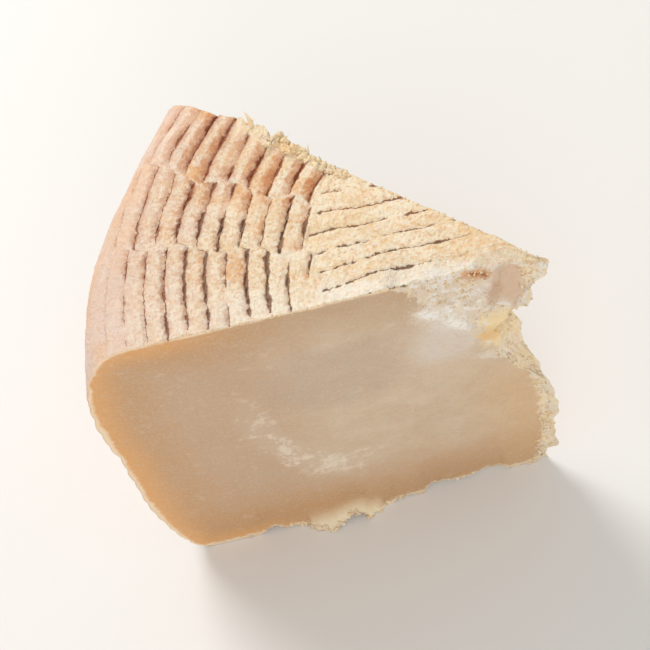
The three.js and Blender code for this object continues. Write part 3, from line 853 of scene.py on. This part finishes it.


# The rind: cream crests with orange and red flanks, the orange partly painted shade on each ridge's side away
# from the light, brown grooves with ragged edges, their darkness partly painted shade in the crease, and a
# pinker bloom down the side. Returns the colour and where the grooves are.
def rindColour(ground, crumbColour):
    slow, middling, fine = ground.slow, ground.middling, ground.fine
    lumps, height = ground.lumps, ground.height
    speckle, pebbles = ground.speckle, ground.pebbles
    place, along, strength, panel = ground.facts("linePlace", "lineAlong", "lineStrength", "lineGroup")
    radius, degrees, inRings, tint, seam = ground.facts("radius", "angle", "inRings", "tint", "seam")
    inFurrows = 1 - inRings
    far = degrees.step(2, -14)
    line = place.maths("ROUND", place)
    slowAlong = ground.lineCloud(line * 3.1, along * 0.22, panel * 5.1, 2, 0.5)
    mottle = ground.lineCloud(place * 2.6, along * 0.35, panel * 4.7, 3, 0.6)

    # grooves: offset is the signed way to the nearest line in pitches, and away its size in grooves
    ragged = ground.lineCloud(place * 5.5, along * 1.3, panel * 9.3)
    offset = (place + (ragged - 0.5) * 0.26 + (lumps - 0.5) * 0.16) - line
    away = offset.maths("ABSOLUTE", offset) * 4.2
    gap = (slowAlong * 1.9 - 0.66) * (1 - radius.step(*zones["rimLines"]) * 0.5) * (0.6 + inRings * 0.4)
    stitches = ground.lineCloud(line * 7.3, along * 0.75, 2.2, 2, 0.5).step(0.42, 0.54)
    halfGap = strength * gap.maths("MAXIMUM", gap, 0.09) * (inRings + inFurrows * (0.35 + stitches * 0.8))
    groove = (away / (halfGap + 0.02)).step(1.3, 0.5) * strength.step(0.15, 0.45)

    # flanks: an orange band, wide on the side of each ridge away from the light and narrow on the other,
    # partly the rind's own orange and partly painted shade
    outer = offset.step(-0.02, 0.02)
    reddish = (away + (lumps - 0.5) * 1.2).step(1.5, 0.3) * strength
    reddish = reddish * (radius + (slow - 0.5) * 24).step(*zones["redRadius"])
    inner = (away - far * 0.8 + (lumps - 0.5) * 1.5).step(2.1, 0.4)
    flankAndShade = (inner * outer + away.step(0.7, 0.2) * (1 - outer)) * (0.35 + strength * 0.65)

    # crests
    paler = (middling * 0.4 + lumps * 0.3 + speckle * 0.3).step(0.42, 0.58)
    crest = paler.blend(look["crest"], look["crestPale"])
    pinker = (radius + (middling - 0.5) * 30).step(*zones["pinkRadius"])
    crest = (pinker * 0.55).blend(crest, look["crestPink"])
    crest = (mottle.step(0.53, 0.66) * inFurrows * 0.45).blend(crest, look["stripe"])
    tinted = (tint + (mottle - 0.5) * 0.8 + far * 0.15 - (1 - far) * 0.05).step(0.5, 0.95)
    tinted = tinted * (0.1 + inRings * 0.6)
    crest = tinted.blend(crest, look["orange"])
    crest = (flankAndShade * inRings * (0.24 + far * 0.5 + tinted * 0.3)).blend(crest, look["flankAndShade"])
    crest = (reddish * slowAlong.step(0.3, 0.56) * 0.75).blend(crest, look["flankRed"])
    crest = (lumps.step(0.46, 0.62) * (0.4 - far * 0.25)).blend(crest, look["crestPale"])
    crest = (speckle.step(0.47, 0.34) * 0.3).blend(crest, look["flankAndShade"])
    crest = (pebbles.step(0.54, 0.66) * (0.4 - far * 0.28)).blend(crest, look["powder"])
    nearHaze = (degrees + (middling - 0.5) * 14).step(9, 19) * (1 - inRings * 0.5)
    crest = (nearHaze * 0.45).blend(crest, look["powder"])
    crest = (seam * lumps.step(0.4, 0.6) * 0.12).blend(crest, look["powder"])
    # painted shade: the grooves' dark brown is partly the rind's own colour and partly the shade in the
    # crease
    browner = far * 0.9 + slow.step(0.45, 0.7) * 0.4 + radius.step(*zones["rimGrooves"]) * 0.7
    top = (groove * 0.92).blend(crest, browner.clamped().blend(look["grooveGrey"], look["groove"]))

    # bloom over the rim and down the side
    bloom = (ground.cloud(70, 4).step(0.4, 0.68) * 0.8).blend(look["bloom"], look["bloomOrange"])
    bands = ground.lineCloud(degrees * 0.5, radius * 0.02, height * 0.62, 4, 0.6).step(0.5, 0.66)
    bloom = (bands * 0.45).blend(bloom, look["bloomOrange"])
    bloom = (fine.step(0.5, 0.7) * 0.35).blend(bloom, look["crestPale"])
    rim = (radius + (slow - 0.5) * 7).step(*zones["rimBloom"]) * 0.75
    top = (rim * (1 - groove * 0.6) * (1 - reddish * 0.7)).blend(top, bloom)
    down = (height + (slow - 0.5) * 8).step(*zones["bloomDown"]) * radius.step(*zones["bloomRadius"])
    colour = down.blend(top, bloom)

    # paste along the torn far edge
    toFar = radius * (degrees + math.degrees(wedge["halfAngle"])) * math.radians(1)
    torn = (toFar + (lumps - 0.5) * 4 + (middling - 0.5) * 4).step(*zones["farEdge"])
    torn = torn * radius.step(*zones["farEdgeStart"])
    torn = torn * (radius + (lumps - 0.5) * 8).step(*zones["farEdgeEnd"])
    return torn.blend(colour, crumbColour), groove


# The wedge's paint: paste on the cuts, rind on top and side, the soft marks over both, and heights in mm.
def paintCheese():
    ground = Ground("cheesePaint")
    fine, lumps, pebbles = ground.fine, ground.lumps, ground.pebbles
    rind = ground.facts("rind")[0].step(0.35, 0.65)
    cut = 1 - rind
    crumbColour = ground.crumbColour()
    fibres = ground.cloud(1.0, 4, 0.7, ground.base.make("ShaderNodeMapping", {}, {
        "Vector": ground.place, "Rotation": (0, math.radians(8), 0), "Scale": (380, 900, 1150)}))
    paste, crumbs = crumbledPaste(ground, pasteColour(ground, fibres), crumbColour, rind)
    onRind, groove = rindColour(ground, crumbColour)
    colour = rind.blend(paste, onRind)
    powdery = (fine * 0.5 + pebbles * 0.5).step(0.4, 0.56) * 0.75 + 0.25
    lumpy = lumps.step(0.4, 0.58) * 0.75 + 0.15
    for mark in marks.values():
        share = ground.spot(mark, fine, 0.8)
        if mark[0] == "powder":
            share = share * powdery
        if mark[0] == "fleck":
            share = share * lumpy
        colour = share.blend(colour, look[mark[0]])

    onTop = rind * ((pebbles - 0.5) * 0.5 + (lumps - 0.5) * 0.45 + (fine - 0.5) * 0.35) - groove * rind * 0.5
    onCrumbs = crumbs * cut * ((lumps - 0.5) * 0.6 + (fine - 0.5) * 0.3 + (pebbles - 0.5) * 0.2)
    onCut = cut * ((fibres - 0.5) * 0.14 + (ground.speckle - 0.5) * 0.1)
    roughness = 0.58 + (fine - 0.5) * 0.16 + rind * 0.16 + crumbs * 0.1
    return ground.finish(colour, onTop + onCrumbs + onCut, roughness, 0.25)


# The loose crumbs' paint. Light that scatters inside such small balls greys them, so it has none of that.
def paintCrumbs():
    ground = Ground("crumbPaint")
    fine, pebbles = ground.fine, ground.pebbles
    golden = ground.cloud(95, 2, 0.5).step(0.5, 0.62) * 0.5
    colour = golden.blend(ground.crumbColour(), look["stripe"])
    height = (fine - 0.5) * 0.4 + (pebbles - 0.5) * 0.2
    return ground.finish(colour, height, 0.7 + (fine - 0.5) * 0.2, 0.0)


cheese.data.materials.append(paintCheese())
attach(cheese, "root")
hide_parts("cheese_wedge")
print("cheese painted")

# crumbs and slivers that cling to the torn edges

crumbs = {
    # how many, smallest and largest (mm), and the ranges of u, v and w they are drawn from
    "pointFace": (230, 0.5, 1.5, (0.0, 0.0), (0.0, 1.0), (0.02, 0.93)),
    "pointEdge": (140, 0.3, 1.2, (0.0, 0.012), (0.0, 0.0), (0.0, 0.6)),
    "beak": (90, 0.4, 1.2, (0.0, 0.02), (0.0, 1.0), (0.9, 1.0)),
    "lowerEdge": (240, 0.35, 1.3, (0.0, 0.86), (0.0, 0.0), (0.0, 0.006)),
    "scrap": (80, 0.5, 1.6, (0.52, 0.72), (0.0, 0.0), (0.0, 0.04)),
    "brokenCorner": (300, 0.3, 1.0, (0.02, 0.26), (0.0, 0.0), (0.7, 1.0)),
    "farEdge": (620, 0.35, 2.0, (0.5, 0.73), (0.95, 1.0), (0.99, 1.0)),
    "farPoint": (90, 0.3, 0.9, (0.0, 0.5), (0.98, 1.0), (1.0, 1.0)),
    "topEdge": (150, 0.25, 0.8, (0.2, 0.9), (0.0, 0.0), (0.99, 1.0)),
}
crumbShape = {
    "seed": 11,
    "sizePower": 2.2,  # above 1, so that small ones are the most
    "stretch": (0.38, 1.0),
    "dents": 0.45,
    "brokenFrom": 0.25,  # those of the broken corner lie where it is at least so broken
    "scoopUpTo": 0.2,  # and no deeper in the scoop
}
slivers = {
    # root and end (mm from the axis), width at the root
    "long": ((-60.5, 21.8, 103.5), (-62.5, 25.6, 107.6), 1.5),
    "short": ((-47.0, 17.0, 103.8), (-48.0, 19.6, 107.0), 1.2),
    "bent": ((-64.5, 23.0, 103.5), (-60.0, 25.0, 106.0), 1.8),
    "low": ((-55.5, 20.4, 103.8), (-52.5, 22.2, 105.8), 1.6),
}


# Each crumb is a small ball, stretched, dented at every point, turned at random and set on the wedge's
# surface.
def makeCrumbs():
    draw = np.random.default_rng(crumbShape["seed"])
    lattice, quads = latticeShell(2, 2, 2)
    ball = lattice - 1.0
    ball /= np.linalg.norm(ball, axis=1, keepdims=True)
    places, sizes = [], []
    for name, (count, smallest, largest, *ranges) in crumbs.items():
        u, v, w = (draw.uniform(low, high, count) for low, high in ranges)
        spots, facts = bendWedge(u, v, w)
        size = smallest + (largest - smallest) * draw.random(count) ** crumbShape["sizePower"]
        keep = np.ones(count, bool)
        if name == "brokenCorner":
            keep = (facts["crumbly"] > crumbShape["brokenFrom"]) & (facts["scoop"] < crumbShape["scoopUpTo"])
        places.append(spots[keep])
        sizes.append(size[keep])
    places, sizes = np.concatenate(places), np.concatenate(sizes)
    count = len(places)
    stretch = draw.uniform(*crumbShape["stretch"], (count, 1, 3)) * sizes[:, None, None] / 2
    dents = 1 + draw.uniform(-crumbShape["dents"], crumbShape["dents"], (count, len(ball), 1))
    spin = np.linalg.qr(draw.normal(size=(count, 3, 3)))[0]
    spin *= np.sign(np.linalg.det(spin))[:, None, None]
    points = np.einsum("nij,npj->npi", spin, ball[None] * stretch * dents) + places[:, None]
    low = points[:, :, 2].min(1)
    points[:, :, 2] += np.maximum(0, -low)[:, None]  # none reaches below the base
    faces = quads[None] + len(ball) * np.arange(count)[:, None, None]
    piece = meshFrom("edgeCrumbs", points.reshape(-1, 3) * mm, faces.reshape(-1, 4))
    piece.data.polygons.foreach_set("use_smooth", np.ones(len(piece.data.polygons), bool))
    return piece


# A sliver is a flattened tube along a line that bows a little, its width falling to a point; both ends close.
def makeSlivers():
    around, along, bow = 7, 9, np.array([0.5, 0.3, 0.6])
    allPoints, allQuads, first = [], [], 0
    for number, (root, end, width) in enumerate(slivers.values()):
        root, end = np.array(root), np.array(end)
        t = np.linspace(0, 1, along)[:, None]
        path = lerp(root, end, t) + bow * np.sin(math.pi * t) * (-1) ** number
        turn = np.linspace(0, 2 * math.pi, around, endpoint=False)
        uneven = 1 + 0.25 * noise(t * 6, number, 2)
        radius = 0.5 * width * (1 - t ** 1.5) * uneven * ease(t, -0.2, 0.05) + 0.01
        ring = np.stack([np.cos(turn), 0.55 * np.sin(turn), 0.3 * np.cos(turn)], -1)
        points = path[:, None] + radius[:, None] * ring[None]
        ids = first + np.arange(along * around).reshape(along, around)
        nextIds = np.roll(ids, -1, 1)
        quads = np.stack([ids[:-1], nextIds[:-1], nextIds[1:], ids[1:]], -1).reshape(-1, 4)
        allPoints.append(points.reshape(-1, 3))
        allQuads.append(quads)
        first += along * around
    points = np.concatenate(allPoints) + np.array([wedge["axisX"], wedge["axisY"], 0])
    piece = meshFrom("slivers", points * mm, np.concatenate(allQuads))
    shape = bmesh.new()
    shape.from_mesh(piece.data)
    bmesh.ops.holes_fill(shape, edges=shape.edges, sides=around)
    bmesh.ops.recalc_face_normals(shape, faces=shape.faces)
    shape.to_mesh(piece.data)
    shape.free()
    piece.data.polygons.foreach_set("use_smooth", np.ones(len(piece.data.polygons), bool))
    return piece


loosePaint = paintCrumbs()
for piece in (makeCrumbs(), makeSlivers()):
    piece.data.materials.append(loosePaint)
    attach(piece, "root")
print("crumbs made")
